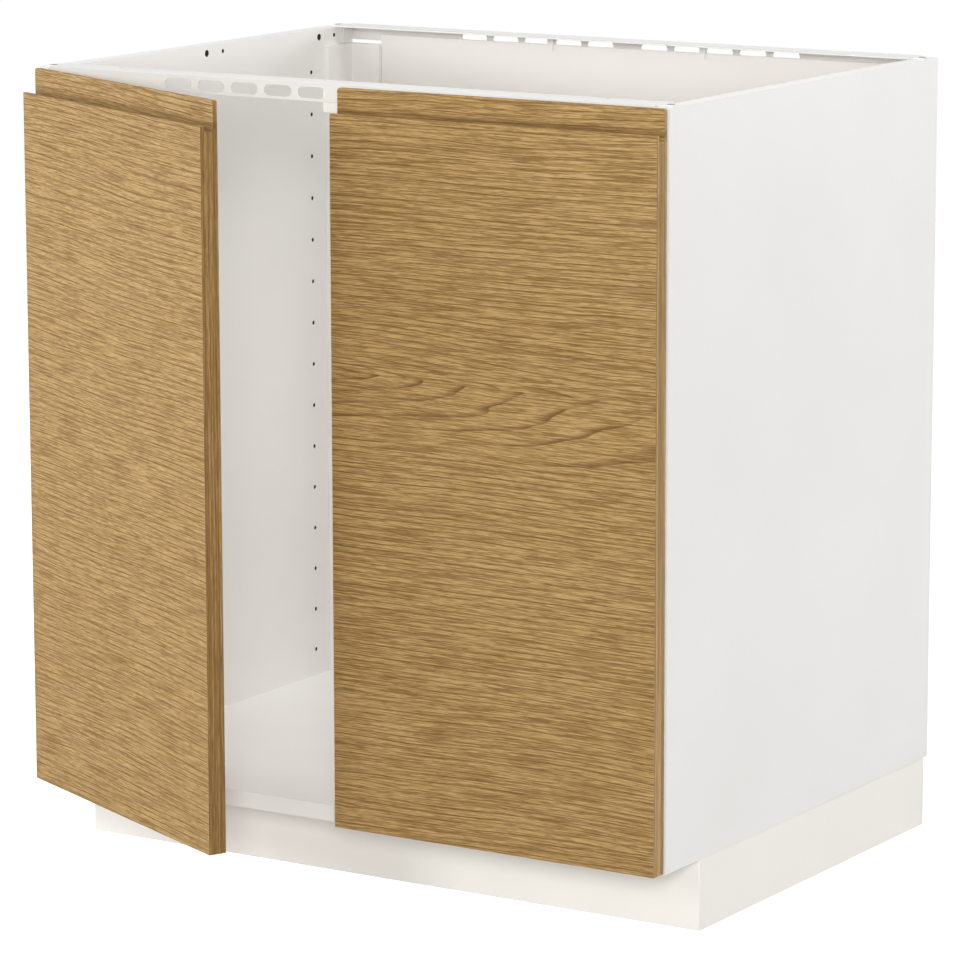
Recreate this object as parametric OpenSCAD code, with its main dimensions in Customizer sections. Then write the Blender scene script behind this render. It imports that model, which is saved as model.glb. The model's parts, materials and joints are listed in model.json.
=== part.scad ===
// Kitchen sink base cabinet: a white board carcass open at the top between two steel rails,
// two oak-effect doors with a grip cut into the top edge, concealed hinges, levelling legs
// and a recessed plinth. The left door stands ajar, as photographed.
// +Z is up and the doors face -Y. The origin is on the floor, in the middle of the front plinth.

/* [Carcass] */
// Width over the side panels
cabinet_width = 800; // [600:10:1000]
// Depth of the carcass, without the doors
cabinet_depth = 600; // [540:10:700]
// Height of the carcass, without the legs
carcass_height = 800; // [650:10:900]
// Height of the legs under the carcass
base_height = 80; // [72:2:120]
// Thickness of the sides and the bottom
panel_thickness = 18; // [16:0.5:19]
// Thickness of the loose back panel
back_thickness = 3; // [2.5:0.5:4]
// How far the back panel's top lies below the carcass top
back_top_drop = 10; // [8:1:14]

/* [Corner posts] */
// Depth of the post's leg on the side panel
post_side_leg = 56; // [40:1:70]
// Width of the post's leg in front of the back panel
post_rear_leg = 44; // [30:1:60]
// Thickness of both legs
post_thickness = 6; // [5:0.5:8]
// How far the post's top lies below the carcass top
post_top_drop = 21; // [20:1:30]
// How far the back panel's edges reach behind the posts
back_overlap = 34; // [15:1:36]

/* [Rails] */
// Thickness of the rail's steel sheet
sheet = 1.5; // [1:0.25:2]
// Depth of the top flange
flange_depth = 40; // [34:1:60]
// Height of the upright face, flange included
rail_height = 19; // [18:0.5:20]
// Oval openings on each side of the middle
openings_per_side = 5; // [2:1:5]
// Distance from the middle to the first opening's centre
first_opening = 36; // [30:0.5:50]
// Pitch of the openings
opening_pitch = 43.2; // [38:0.2:46]
// Length of an opening
opening_length = 34.5; // [26:0.5:36]
// Height of an opening
opening_height = 11.8; // [8:0.1:12]
// Distance from the rail's front to the lugs' screws
lug_setback = 20; // [14:1:26]
// Width of a lug, which is also its rounded end's diameter
lug_width = 22; // [16:1:26]
// Distance from the side's outer face to the lug's screw
lug_screw_inset = 10; // [8:0.5:12]
// Depth of the tab on the side panel
tab_depth = 18; // [12:1:30]
// Distance from the middle to the outer worktop fixing hole
fixing_outer = 309; // [240:1:350]
// Distance from the middle to the inner worktop fixing hole
fixing_inner = 41; // [30:1:60]
// Radius of a worktop fixing hole
fixing_radius = 2.5; // [2:0.25:3]
// Distance from the rail's front to the worktop fixing holes
fixing_setback = 32; // [30:1:34]
// Width of the block under the front rail
block_width = 44; // [30:1:60]
// How far the block reaches below the rail's face
block_drop = 11; // [4:1:14]
// Distance from the middle to a back panel clip
clip_spacing = 102; // [60:1:200]
// Width of a back panel clip
clip_width = 7; // [5:0.5:12]

/* [Side holes] */
// Pitch of the shelf pin holes
pin_pitch = 50; // [32:1:64]
// Radius of a shelf pin hole
pin_radius = 2.5; // [2:0.25:3]
// Depth of the shelf pin holes
pin_depth = 11; // [8:0.5:12]
// Distance from the panel's top and bottom to the nearest shelf pin hole
pin_end = 50; // [40:1:100]
// Distance from the front and rear edges to the shelf pin holes
pin_setback = 89; // [80:1:130]
// Radius of the large fitting holes near the top edge
fitting_radius = 4; // [3:0.25:5]
// Depth of these fitting holes below the top edge
fitting_drop = 9.6; // [9:0.2:14]
// Distance from the carcass front to the first large fitting hole
fitting_front = 298; // [150:1:320]
// Distance from the first large fitting hole to the second
fitting_pitch = 230; // [150:1:230]
// Distance from a large fitting hole to the small one behind it
fitting_pair = 32; // [20:1:32]

/* [Doors] */
// Thickness of a door
door_thickness = 20; // [19:0.5:24]
// Gap between a closed door and the carcass
door_gap = 2; // [1.5:0.25:3]
// Gap round each door, measured from the carcass's outline
door_reveal = 1.5; // [1:0.25:2.5]
// Rest angle of the left door
door_left_open = 25.5; // [0:0.5:110]
// Rest angle of the right door
door_right_open = 0; // [0:0.5:110]
// How far the front leaf's top lies below the door's top
grip_drop = 26; // [18:1:40]
// Thickness of the front leaf
leaf_thickness = 5; // [4:0.5:7]
// Thickness of the strip behind the grip
strip_thickness = 5; // [4:0.5:7]
// Depth of the grip below the front leaf's top
grip_depth = 8; // [7:0.5:12]
// Radius of the strip's top corners
strip_corner = 3; // [1:0.5:6]
// Radius of a door bumper
bumper_radius = 5; // [3:0.5:7]
// Thickness of a door bumper
bumper_thickness = 1.2; // [0.6:0.1:1.3]

/* [Hinges] */
// Distance from a door's end to a hinge's middle
hinge_end = 98; // [70:1:140]
// Distance from the side's outer face to the link's pivot
link_pivot_in = 36; // [35:0.5:37]
// Distance from the carcass front back to the link's pivot
link_pivot_back = 4; // [3.5:0.25:5]
// Distance from the side's outer face to the cup's pivot
cup_pivot_in = 11; // [11:0.25:12]
// Distance from the carcass front forward to the cup's pivot
cup_pivot_front = 5; // [4.75:0.25:5.5]
// Turn of the link for each degree that the door opens
link_share = 0.25; // [0.24:0.01:0.26]
// Radius of the cup
cup_radius = 17.5; // [17.5:0.25:18]
// Depth of the cup
cup_depth = 12; // [12:0.25:13]
// Distance from the door's edge to the cup's centre
cup_inset = 22.5; // [22:0.25:22.75]
// Radius of the hinge pins
hinge_pin_radius = 1.5; // [1.25:0.25:1.75]
// Distance from the carcass front to the mounting plate's screws
plate_setback = 37; // [34:1:40]
// Distance between the mounting plate's screws
plate_pitch = 32; // [28:1:40]
// Length of the hinge arm behind the link's pivot
arm_length = 58; // [52:1:70]
// Distance between the cup's two screws
cup_screw_pitch = 52; // [48:1:56]

/* [Legs] */
// Distance from the side's outer face to a leg's axis
leg_side_inset = 52; // [52:1:90]
// Distance from the front plinth's rear face to the front legs' axis
leg_front_clear = 34; // [34:1:60]
// Distance from the carcass rear to the rear legs' axis
leg_rear_inset = 60; // [40:1:120]
// Outer radius of a leg tube
tube_radius = 16; // [14:0.5:18]
// Wall of a leg tube
tube_wall = 4; // [3:0.5:5]
// Radius of a foot
foot_radius = 27; // [22:1:30]
// Travel of a foot's height adjustment
foot_travel = 15; // [5:1:15]
// Radius of a leg socket's flange
socket_radius = 31; // [29:1:32]

/* [Plinth] */
// Distance from the carcass front to the front plinth
plinth_recess = 78; // [60:1:100]
// Thickness of the plinth boards
plinth_thickness = 16; // [12:1:18]
// Distance from the carcass side to the side plinth
plinth_side_inset = 3; // [0:0.5:10]
// Distance from the carcass rear to the side plinth's end
plinth_rear_gap = 3; // [0:1:20]

/* [Hidden] */
$fn = 48;

board_white = [0.94, 0.935, 0.925];
steel_white = [0.93, 0.925, 0.91];
plinth_white = [0.95, 0.945, 0.92];
oak = [0.67, 0.53, 0.35];
nickel = [0.72, 0.71, 0.69];
dark_steel = [0.3, 0.3, 0.3];
leg_black = [0.12, 0.12, 0.12];
beech = [0.8, 0.66, 0.47];
clear_rubber = [0.86, 0.87, 0.87];

// The carcass's own planes
front_y = -(plinth_recess + plinth_thickness / 2);
rear_y = front_y + cabinet_depth;
middle_y = front_y + cabinet_depth / 2;
top_z = base_height + carcass_height;
inner_x = cabinet_width / 2 - panel_thickness;
floor_z = base_height + panel_thickness;
fit_clear = 0.2;
bore_clear = 0.1;
pin_clear = 0.05;
overshoot = 1;
join_overlap = 0.25;

// Back panel, posts and rails, stacked from the rear face forwards
rail_end = inner_x - fit_clear;
rail_foot_z = top_z + sheet - rail_height;
back_rear_y = rear_y - sheet - fit_clear;
back_front_y = back_rear_y - back_thickness;
post_rear_y = back_front_y - fit_clear;
post_top_z = top_z - post_top_drop;
back_side = inner_x - post_rear_leg;
shoulder_drop = 3;
back_shoulder_z = post_top_z - shoulder_drop;
tab_post_gap = 1;
tab_drop = post_top_drop - tab_post_gap;
tab_start = 5;
lug_end_offset = 4;
opening_margin = 4;
opening_z = top_z + sheet - opening_margin - opening_height / 2;
rail_screw_radius = 2;
rail_screw_length = 24;
rail_head_radius = 4.5;
rail_head_sink = 0.1;
rail_head_height = sheet - rail_head_sink;
slot_width = 1.2;
slot_depth = 0.7;
block_depth = 20;
block_wall = 3;
block_roof = 2;
clip_depth = 12;

// Holes in the side panels
pin_count = floor((carcass_height - 2 * pin_end) / pin_pitch) + 1;
fitting_depth = 12;
dowel_radius = 4;
dowel_in_side = 12;
dowel_in_bottom = 22;
dowel_count = 4;
dowel_end = 50;

// Doors, with u measured inwards from the side's outer face and y back from the carcass front
door_width = cabinet_width / 2 - 2 * door_reveal;
door_foot_z = base_height + door_reveal;
door_top_gap = 0.5;
door_height = carcass_height - door_reveal - door_top_gap;
door_top_z = door_foot_z + door_height;
grip_width = door_thickness - leaf_thickness - strip_thickness;
leaf_top_z = door_top_z - grip_drop;
bumper_edge = 12;

// Hinges
hinge_z = [door_foot_z + hinge_end, door_top_z - hinge_end];
link_pivot = [link_pivot_in, link_pivot_back];
cup_pivot = [cup_pivot_in, -cup_pivot_front];
elbow_in = 5.2;
elbow_front = 4.7;
elbow_radius = 1.6;
elbow = cup_pivot + [elbow_in, -elbow_front];
link_width = 11.6;
link_thickness = 2.6;
knuckle_radius = 2.8;
knuckle_proud = 0.3;
link_side_gap = 0.4;
pocket_width = link_width + 2 * link_side_gap;
pocket_length = 32;
pocket_floor = 1;
ear_thickness = 1;
ear_radius = 6;
ear_shift = 9.5;
rim_width = 1.5;
rim_radius = cup_radius + rim_width;
cup_u = door_reveal + cup_inset;
cup_pin_length = 20;
cheek = 2;
cheek_gap = pocket_width / 2;
nose_radius = 3;
nose_length = 10;
nose_low_u = link_pivot_in - nose_radius;
arm_top_u = link_pivot_in + nose_radius;
arm_lift = 6;
arm_low_u = panel_thickness + arm_lift;
web_start = 8;
plate_thickness = 2.5;
plate_side_gap = 0.3;
plate_block_width = 2 * (cheek_gap - plate_side_gap);
plate_block_start = 20;
plate_block_gap = 2;
plate_wing_end = 8;
plate_wing = plate_pitch / 2 + plate_wing_end;
plate_wing_depth = 14;
plate_screw_radius = 2.4;
plate_screw_length = 12;
screw_head = 1.6;
head_ratio = 2;
arm_screw_radius = 3;
arm_screw_length = 14;
arm_screw_y = 48;
arm_head_radius = 5;
arm_head_height = 2.5;
cup_screw_radius = 1.6;
cup_screw_length = 10;

// Legs, feet and plinth
leg_front_y = plinth_recess + plinth_thickness + leg_front_clear;
leg_rear_y = cabinet_depth - leg_rear_inset;
socket_flange = 3;
socket_collar = 3;
socket_collar_height = 24;
tube_top_z = base_height - socket_flange;
foot_base = 5;
foot_shoulder_z = 11;
foot_rim = 5.5;
seat_gap = 0.3;
tube_foot_z = foot_shoulder_z + seat_gap;
stem_radius = tube_radius - tube_wall - bore_clear;
stem_grip = 34;
stem_top_z = tube_foot_z + foot_travel + stem_grip;
socket_screw_out = 6;
socket_screw_circle = tube_radius + socket_collar + socket_screw_out;
socket_screw_radius = 1.8;
socket_screw_length = 14;
plinth_top_gap = 0.5;
plinth_height = base_height - plinth_top_gap;
plinth_round = 2;
grip_ring = 2.5;
ring_height = 13;
clip_plate = 3;
clip_plate_width = 30;
clip_arm_width = 10;
front_ring_z = 14;
ring_gap = 3;
side_ring_z = front_ring_z + ring_height + ring_gap;

// Puts a shape described from the left side's outer front edge in its place
module left_side() {
    translate([-cabinet_width / 2, front_y, 0]) children();
}

module right_side() {
    mirror([1, 0, 0]) left_side() children();
}

// Turns a shape about an upright axis
module about(pivot, angle) {
    translate([pivot.x, pivot.y, 0]) rotate([0, 0, angle]) translate([-pivot.x, -pivot.y, 0]) children();
}

// The link turns a little against the door while the door opens
module swung_link(open) {
    about(link_pivot, link_share * open) children();
}

module swung_door(open) {
    swung_link(open) about(cup_pivot, -(1 + link_share) * open) children();
}

// An upright pin or bore
module upright(u, y, z, radius, length) {
    translate([u, y, z]) cylinder(h = length, r = radius);
}

// A pin or bore that runs from a point inwards, along +X
module inwards(u, y, z, radius, length) {
    translate([u, y, z]) rotate([0, 90, 0]) cylinder(h = length, r = radius);
}

// A pin or bore that runs from a point forwards, along -Y
module forwards(u, y, z, radius, length) {
    translate([u, y, z]) rotate([90, 0, 0]) cylinder(h = length, r = radius);
}

// Side panels
module shelf_pin_holes() {
    for (row = [0 : pin_count - 1], y = [pin_setback, cabinet_depth - pin_setback])
        inwards(panel_thickness - pin_depth, y, top_z - pin_end - row * pin_pitch,
            pin_radius, pin_depth + overshoot);
}

module fitting_holes() {
    for (pair = [0, 1]) {
        y = fitting_front + pair * fitting_pitch;
        z = top_z - fitting_drop;
        inwards(panel_thickness - fitting_depth, y, z, fitting_radius, fitting_depth + overshoot);
        inwards(panel_thickness - fitting_depth, y + fitting_pair, z, pin_radius,
            fitting_depth + overshoot);
    }
}

module plate_screw_holes() {
    for (z = hinge_z, side = [-1, 1])
        inwards(panel_thickness - plate_screw_length - fit_clear, plate_setback,
            z + side * plate_pitch / 2, plate_screw_radius + bore_clear,
            plate_screw_length + fit_clear + overshoot);
}

function dowel_y(index) =
    dowel_end + index * (cabinet_depth - 2 * dowel_end) / (dowel_count - 1);

module dowel_holes() {
    for (index = [0 : dowel_count - 1])
        inwards(panel_thickness - dowel_in_side - fit_clear, dowel_y(index),
            base_height + panel_thickness / 2, dowel_radius + pin_clear,
            dowel_in_side + dowel_in_bottom + 2 * fit_clear);
}

module rail_screw_holes() {
    for (y = [lug_setback, cabinet_depth - lug_setback])
        upright(lug_screw_inset, y, top_z - rail_screw_length - fit_clear,
            rail_screw_radius + bore_clear, rail_screw_length + fit_clear + overshoot);
}

module side_panel() {
    color(board_white) difference() {
        translate([0, 0, base_height]) cube([panel_thickness, cabinet_depth, carcass_height]);
        shelf_pin_holes();
        fitting_holes();
        plate_screw_holes();
        dowel_holes();
        rail_screw_holes();
    }
}

module side_panel_left() {
    left_side() side_panel();
}

module side_panel_right() {
    right_side() side_panel();
}

// Bottom panel, between the sides and in front of the back panel
module bottom_panel() {
    color(board_white) difference() {
        translate([-inner_x, front_y, base_height])
            cube([2 * inner_x, back_front_y - front_y, panel_thickness]);
        left_side() dowel_holes();
        right_side() dowel_holes();
        all_legs() socket_screw_pilots();
    }
}

module panel_dowels() {
    color(beech) for (index = [0 : dowel_count - 1]) {
        left_side() dowel(index);
        right_side() dowel(index);
    }
}

module dowel(index) {
    inwards(panel_thickness - dowel_in_side, dowel_y(index), base_height + panel_thickness / 2,
        dowel_radius, dowel_in_side + dowel_in_bottom);
}

// Back panel: its upper corners are cut out round the posts' tops
module back_panel() {
    wide = back_side + back_overlap;
    color(board_white) {
        translate([-wide, back_front_y, base_height])
            cube([2 * wide, back_thickness, back_shoulder_z - base_height]);
        translate([-back_side, back_front_y, back_shoulder_z - overshoot])
            cube([2 * back_side, back_thickness, top_z - back_top_drop - back_shoulder_z + overshoot]);
    }
}

// Corner posts: an angle that stands on the bottom panel and holds the back panel's edge
module corner_post() {
    depth = cabinet_depth - (rear_y - post_rear_y);
    height = post_top_z - floor_z;
    color(board_white) {
        translate([panel_thickness, depth - post_side_leg, floor_z])
            cube([post_thickness, post_side_leg, height]);
        translate([panel_thickness, depth - post_thickness, floor_z])
            cube([post_rear_leg, post_thickness, height]);
    }
}

module corner_post_left() {
    left_side() corner_post();
}

module corner_post_right() {
    right_side() corner_post();
}

// Rails: a flange along the top, an upright face with oval openings, a tab down each side
// panel and a lug screwed onto each side panel's top edge
module oval_opening(x) {
    reach = (opening_length - opening_height) / 2;
    depth = sheet + 2 * overshoot;
    for (side = [-1, 1])
        forwards(x + side * reach, front_y + sheet + overshoot, opening_z, opening_height / 2, depth);
    translate([x - reach, front_y - overshoot, opening_z - opening_height / 2])
        cube([2 * reach, depth, opening_height]);
}

module rail_lug(side) {
    lug_x = cabinet_width / 2 - lug_screw_inset - lug_end_offset;
    start_x = rail_end - sheet;
    upright(side * lug_x, front_y + lug_setback, top_z, lug_width / 2, sheet);
    translate([side > 0 ? start_x : -lug_x, front_y + lug_setback - lug_width / 2, top_z])
        cube([lug_x - start_x, lug_width, sheet]);
}

// A countersunk hole through the sheet, with its lower end at the origin
module lug_screw_hole() {
    slope = (rail_head_radius - rail_screw_radius) / rail_head_height;
    radius = rail_screw_radius + bore_clear;
    upright(0, 0, -overshoot, radius, sheet + overshoot);
    cylinder(h = sheet + overshoot, r1 = radius, r2 = radius + slope * (sheet + overshoot));
}

module rail_tab(side) {
    translate([side > 0 ? rail_end - sheet : -rail_end, front_y + tab_start, top_z - tab_drop])
        cube([sheet, tab_depth, tab_drop + sheet]);
}

module rail() {
    color(steel_white) difference() {
        union() {
            translate([-rail_end, front_y, top_z]) cube([2 * rail_end, flange_depth, sheet]);
            translate([-rail_end, front_y, rail_foot_z]) cube([2 * rail_end, sheet, rail_height]);
            for (side = [-1, 1]) {
                rail_lug(side);
                rail_tab(side);
            }
        }
        for (side = [-1, 1]) {
            for (index = [0 : openings_per_side - 1])
                oval_opening(side * (first_opening + index * opening_pitch));
            for (x = [fixing_inner, fixing_outer])
                upright(side * x, front_y + fixing_setback, top_z - overshoot,
                    fixing_radius, sheet + 2 * overshoot);
            translate([side * (cabinet_width / 2 - lug_screw_inset), front_y + lug_setback, top_z])
                lug_screw_hole();
        }
    }
}

module front_rail() {
    rail();
}

module rear_rail() {
    translate([0, 2 * middle_y, 0]) rotate([0, 0, 180]) rail();
}

// Slotted countersunk screws that hold the rails' lugs, with their heads level with the sheet
module rail_screw() {
    difference() {
        union() {
            translate([0, 0, top_z])
                cylinder(h = rail_head_height, r1 = rail_screw_radius, r2 = rail_head_radius);
            upright(0, 0, top_z - rail_screw_length, rail_screw_radius,
                rail_screw_length + join_overlap);
        }
        translate([-rail_head_radius, -slot_width / 2, top_z + rail_head_height - slot_depth])
            cube([2 * rail_head_radius, slot_width, overshoot]);
    }
}

module rail_screws() {
    color(dark_steel) for (side = [-1, 1], y = [lug_setback, cabinet_depth - lug_setback])
        translate([side * (cabinet_width / 2 - lug_screw_inset), front_y + y, 0]) rail_screw();
}

// Clips that hang from the rear rail's flange and keep the back panel against the rail
module back_panel_clips() {
    leg_y = post_rear_y - sheet;
    color(steel_white) for (side = [-1, 1])
        translate([side * clip_spacing - clip_width / 2, 0, 0]) {
            translate([0, leg_y - clip_depth + sheet, top_z - sheet])
                cube([clip_width, clip_depth, sheet]);
            translate([0, leg_y, rail_foot_z]) cube([clip_width, sheet, top_z - rail_foot_z]);
        }
}

// Block behind the front rail's middle that both doors close against
module door_stop_block() {
    foot = rail_foot_z - block_drop;
    color(steel_white) difference() {
        translate([-block_width / 2, front_y + sheet, foot])
            cube([block_width, block_depth, top_z - foot]);
        translate([-block_width / 2 + block_wall, front_y + sheet + block_wall, foot - overshoot])
            cube([block_width - 2 * block_wall, block_depth - 2 * block_wall,
                top_z - foot - block_roof + overshoot]);
    }
}

// Doors
module door_profile() {
    difference() {
        square([door_thickness, door_height]);
        translate([strip_thickness, door_height - grip_drop])
            square([door_thickness, grip_drop + overshoot]);
        translate([strip_thickness, door_height - grip_drop - grip_depth + grip_width / 2])
            square([grip_width, grip_depth]);
        translate([strip_thickness + grip_width / 2,
                door_height - grip_drop - grip_depth + grip_width / 2])
            circle(d = grip_width);
    }
}

// Rounds one top corner of the strip, with the corner at the origin and the door at its right
module corner_cutter() {
    difference() {
        translate([-overshoot, -overshoot, -strip_corner])
            cube([strip_corner + overshoot, strip_thickness + 2 * overshoot, strip_corner + overshoot]);
        forwards(strip_corner, strip_thickness + 2 * overshoot, -strip_corner,
            strip_corner, strip_thickness + 4 * overshoot);
    }
}

module door() {
    color(oak) difference() {
        translate([door_reveal, -door_gap, door_foot_z])
            rotate([90, 0, 90]) mirror([1, 0, 0]) linear_extrude(height = door_width) door_profile();
        translate([door_reveal, -door_gap - strip_thickness, door_top_z]) corner_cutter();
        translate([door_reveal + door_width, -door_gap - strip_thickness, door_top_z])
            mirror([1, 0, 0]) corner_cutter();
        for (z = hinge_z) {
            forwards(cup_u, -door_gap + overshoot, z, cup_radius + bore_clear,
                cup_depth + fit_clear + overshoot);
            for (side = [-1, 1])
                forwards(cup_u + ear_shift, -door_gap + overshoot, z + side * cup_screw_pitch / 2,
                    cup_screw_radius + bore_clear, cup_screw_length + fit_clear + overshoot);
        }
    }
}

module door_left() {
    left_side() swung_door(door_left_open) door();
}

module door_right() {
    right_side() swung_door(door_right_open) door();
}

// Soft pads on the door's back, one against the rail's middle and one against the bottom panel
module bumpers() {
    color(clear_rubber)
        for (z = [base_height + panel_thickness / 2, rail_foot_z + rail_height / 2])
            forwards(door_reveal + door_width - bumper_edge, -door_gap + bumper_thickness, z,
                bumper_radius, bumper_thickness);
}

module bumpers_left() {
    left_side() swung_door(door_left_open) bumpers();
}

module bumpers_right() {
    right_side() swung_door(door_right_open) bumpers();
}

// Hinge cup: a round cup let into the door, with two screwed ears and a pocket for the link
module hinge_cup(z) {
    color(nickel) difference() {
        union() {
            forwards(cup_u, -door_gap, z, cup_radius, cup_depth);
            forwards(cup_u, -door_gap + ear_thickness, z, rim_radius, ear_thickness);
            translate([cup_u + ear_shift - ear_radius, -door_gap, z - cup_screw_pitch / 2])
                cube([2 * ear_radius, ear_thickness, cup_screw_pitch]);
            for (side = [-1, 1])
                forwards(cup_u + ear_shift, -door_gap + ear_thickness,
                    z + side * cup_screw_pitch / 2, ear_radius, ear_thickness);
        }
        translate([cup_u - pocket_length / 2, -door_gap - cup_depth + pocket_floor,
                z - pocket_width / 2])
            cube([pocket_length, cup_depth - pocket_floor + ear_thickness + overshoot, pocket_width]);
        upright(cup_pivot.x, cup_pivot.y, z - cup_pin_length / 2 - fit_clear,
            hinge_pin_radius + pin_clear, cup_pin_length + 2 * fit_clear);
        for (side = [-1, 1])
            forwards(cup_u + ear_shift, overshoot, z + side * cup_screw_pitch / 2,
                cup_screw_radius + bore_clear, door_gap + 2 * overshoot);
    }
}

module cup_pins() {
    color(dark_steel) for (z = hinge_z)
        upright(cup_pivot.x, cup_pivot.y, z - cup_pin_length / 2, hinge_pin_radius, cup_pin_length);
}

module cup_screws() {
    seat = -door_gap + ear_thickness;
    color(nickel) for (z = hinge_z, side = [-1, 1]) {
        forwards(cup_u + ear_shift, seat + screw_head, z + side * cup_screw_pitch / 2,
            head_ratio * cup_screw_radius, screw_head);
        forwards(cup_u + ear_shift, seat + screw_head / 2, z + side * cup_screw_pitch / 2,
            cup_screw_radius, cup_screw_length + screw_head / 2);
    }
}

// Hinge link: bent round the cup's rim, with a knuckle at each end
module link_strip(from, to) {
    run = to - from;
    translate(from) rotate(atan2(run.y, run.x)) translate([0, -link_thickness / 2])
        square([norm(run), link_thickness]);
}

module link_profile() {
    link_strip(cup_pivot, elbow);
    link_strip(elbow, link_pivot);
    translate(elbow) circle(r = elbow_radius);
}

module hinge_link(z) {
    strip_height = link_width - 2 * knuckle_proud;
    color(nickel) difference() {
        union() {
            translate([0, 0, z - strip_height / 2]) linear_extrude(height = strip_height) link_profile();
            for (pivot = [cup_pivot, link_pivot])
                upright(pivot.x, pivot.y, z - link_width / 2, knuckle_radius, link_width);
        }
        for (pivot = [cup_pivot, link_pivot])
            upright(pivot.x, pivot.y, z - link_width / 2 - overshoot,
                hinge_pin_radius + pin_clear, link_width + 2 * overshoot);
    }
}

// Hinge arm: a channel that straddles the mounting plate, open at the nose for the link
module arm_cheek() {
    upright(link_pivot.x, link_pivot.y, 0, nose_radius, cheek);
    translate([nose_low_u, link_pivot.y, 0]) cube([arm_top_u - nose_low_u, nose_length, cheek]);
    translate([arm_low_u, link_pivot.y + nose_length, 0])
        cube([arm_top_u - arm_low_u, arm_length - nose_length, cheek]);
}

module hinge_arm(z) {
    color(nickel) difference() {
        union() {
            translate([0, 0, z + cheek_gap]) arm_cheek();
            translate([0, 0, z - cheek_gap - cheek]) arm_cheek();
            translate([arm_top_u - cheek, link_pivot.y + web_start, z - cheek_gap - cheek])
                cube([cheek, arm_length - web_start, 2 * (cheek_gap + cheek)]);
        }
        upright(link_pivot.x, link_pivot.y, z - cheek_gap - cheek - overshoot,
            hinge_pin_radius + pin_clear, 2 * (cheek_gap + cheek + overshoot));
        inwards(arm_top_u - cheek - overshoot, arm_screw_y, z, arm_screw_radius + bore_clear,
            cheek + 2 * overshoot);
    }
}

module arm_pins() {
    length = 2 * (cheek_gap + cheek);
    color(dark_steel) for (z = hinge_z)
        upright(link_pivot.x, link_pivot.y, z - length / 2, hinge_pin_radius, length);
}

// Mounting plate: screwed to the side panel, with a block that the arm sits on
module hinge_plate(z) {
    block_end = link_pivot_back + arm_length - plate_block_gap;
    seat_u = arm_top_u - cheek;
    color(nickel) difference() {
        union() {
            translate([panel_thickness, plate_setback - plate_wing_depth / 2, z - plate_wing])
                cube([plate_thickness, plate_wing_depth, 2 * plate_wing]);
            translate([panel_thickness, plate_block_start, z - plate_block_width / 2])
                cube([seat_u - panel_thickness, block_end - plate_block_start, plate_block_width]);
        }
        for (side = [-1, 1])
            inwards(panel_thickness - overshoot, plate_setback, z + side * plate_pitch / 2,
                plate_screw_radius + bore_clear, plate_thickness + 2 * overshoot);
        inwards(seat_u - arm_screw_length, arm_screw_y, z, arm_screw_radius + bore_clear,
            arm_screw_length + overshoot);
    }
}

module plate_screw_pair(z) {
    seat = panel_thickness + plate_thickness;
    for (side = [-1, 1]) {
        inwards(seat, plate_setback, z + side * plate_pitch / 2, head_ratio * plate_screw_radius,
            screw_head);
        inwards(panel_thickness - plate_screw_length, plate_setback, z + side * plate_pitch / 2,
            plate_screw_radius, plate_screw_length + plate_thickness + screw_head / 2);
    }
}

module arm_screw(z) {
    inwards(arm_top_u, arm_screw_y, z, arm_head_radius, arm_head_height);
    inwards(arm_top_u - cheek - arm_screw_length + fit_clear, arm_screw_y, z, arm_screw_radius,
        arm_screw_length + cheek + arm_head_height / 2);
}

module plate_screws() {
    color(nickel) for (z = hinge_z) {
        left_side() plate_screw_pair(z);
        right_side() plate_screw_pair(z);
    }
}

module arm_screws() {
    color(nickel) for (z = hinge_z) {
        left_side() arm_screw(z);
        right_side() arm_screw(z);
    }
}

// Legs. A leg is described about its own axis, and then put in its corner
module leg_at(side, y) {
    translate([side * (cabinet_width / 2 - leg_side_inset), front_y + y, 0]) children();
}

module all_legs() {
    for (side = [-1, 1], y = [leg_front_y, leg_rear_y]) leg_at(side, y) children();
}

module socket_screw_pilots() {
    for (turn = [45 : 90 : 315])
        rotate([0, 0, turn]) upright(socket_screw_circle, 0, base_height - overshoot,
            socket_screw_radius + bore_clear,
            socket_screw_length - socket_flange + fit_clear + overshoot);
}

module leg_socket() {
    color(leg_black) difference() {
        union() {
            upright(0, 0, tube_top_z, socket_radius, socket_flange);
            upright(0, 0, tube_top_z - socket_collar_height, tube_radius + socket_collar,
                socket_collar_height + socket_flange);
        }
        upright(0, 0, tube_top_z - socket_collar_height - overshoot, tube_radius + bore_clear,
            socket_collar_height + overshoot);
        for (turn = [45 : 90 : 315])
            rotate([0, 0, turn]) upright(socket_screw_circle, 0, tube_top_z - overshoot,
                socket_screw_radius + bore_clear, socket_flange + 2 * overshoot);
    }
}

module leg_tube() {
    color(leg_black) difference() {
        upright(0, 0, tube_foot_z, tube_radius, tube_top_z - tube_foot_z);
        upright(0, 0, tube_foot_z - overshoot, stem_radius + bore_clear,
            tube_top_z - tube_foot_z - tube_wall + overshoot);
    }
}

module foot() {
    color(leg_black) {
        upright(0, 0, 0, foot_radius, foot_base);
        translate([0, 0, foot_base - join_overlap])
            cylinder(h = foot_shoulder_z - foot_base + join_overlap, r1 = foot_radius - foot_rim,
                r2 = tube_radius);
        upright(0, 0, foot_base, stem_radius, stem_top_z - foot_base);
    }
}

module socket_screw_set() {
    for (turn = [45 : 90 : 315]) rotate([0, 0, turn]) {
        upright(socket_screw_circle, 0, tube_top_z - screw_head, head_ratio * socket_screw_radius,
            screw_head);
        upright(socket_screw_circle, 0, tube_top_z - screw_head / 2, socket_screw_radius,
            socket_screw_length + screw_head / 2);
    }
}

module socket_screws() {
    color(nickel) all_legs() socket_screw_set();
}

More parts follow.
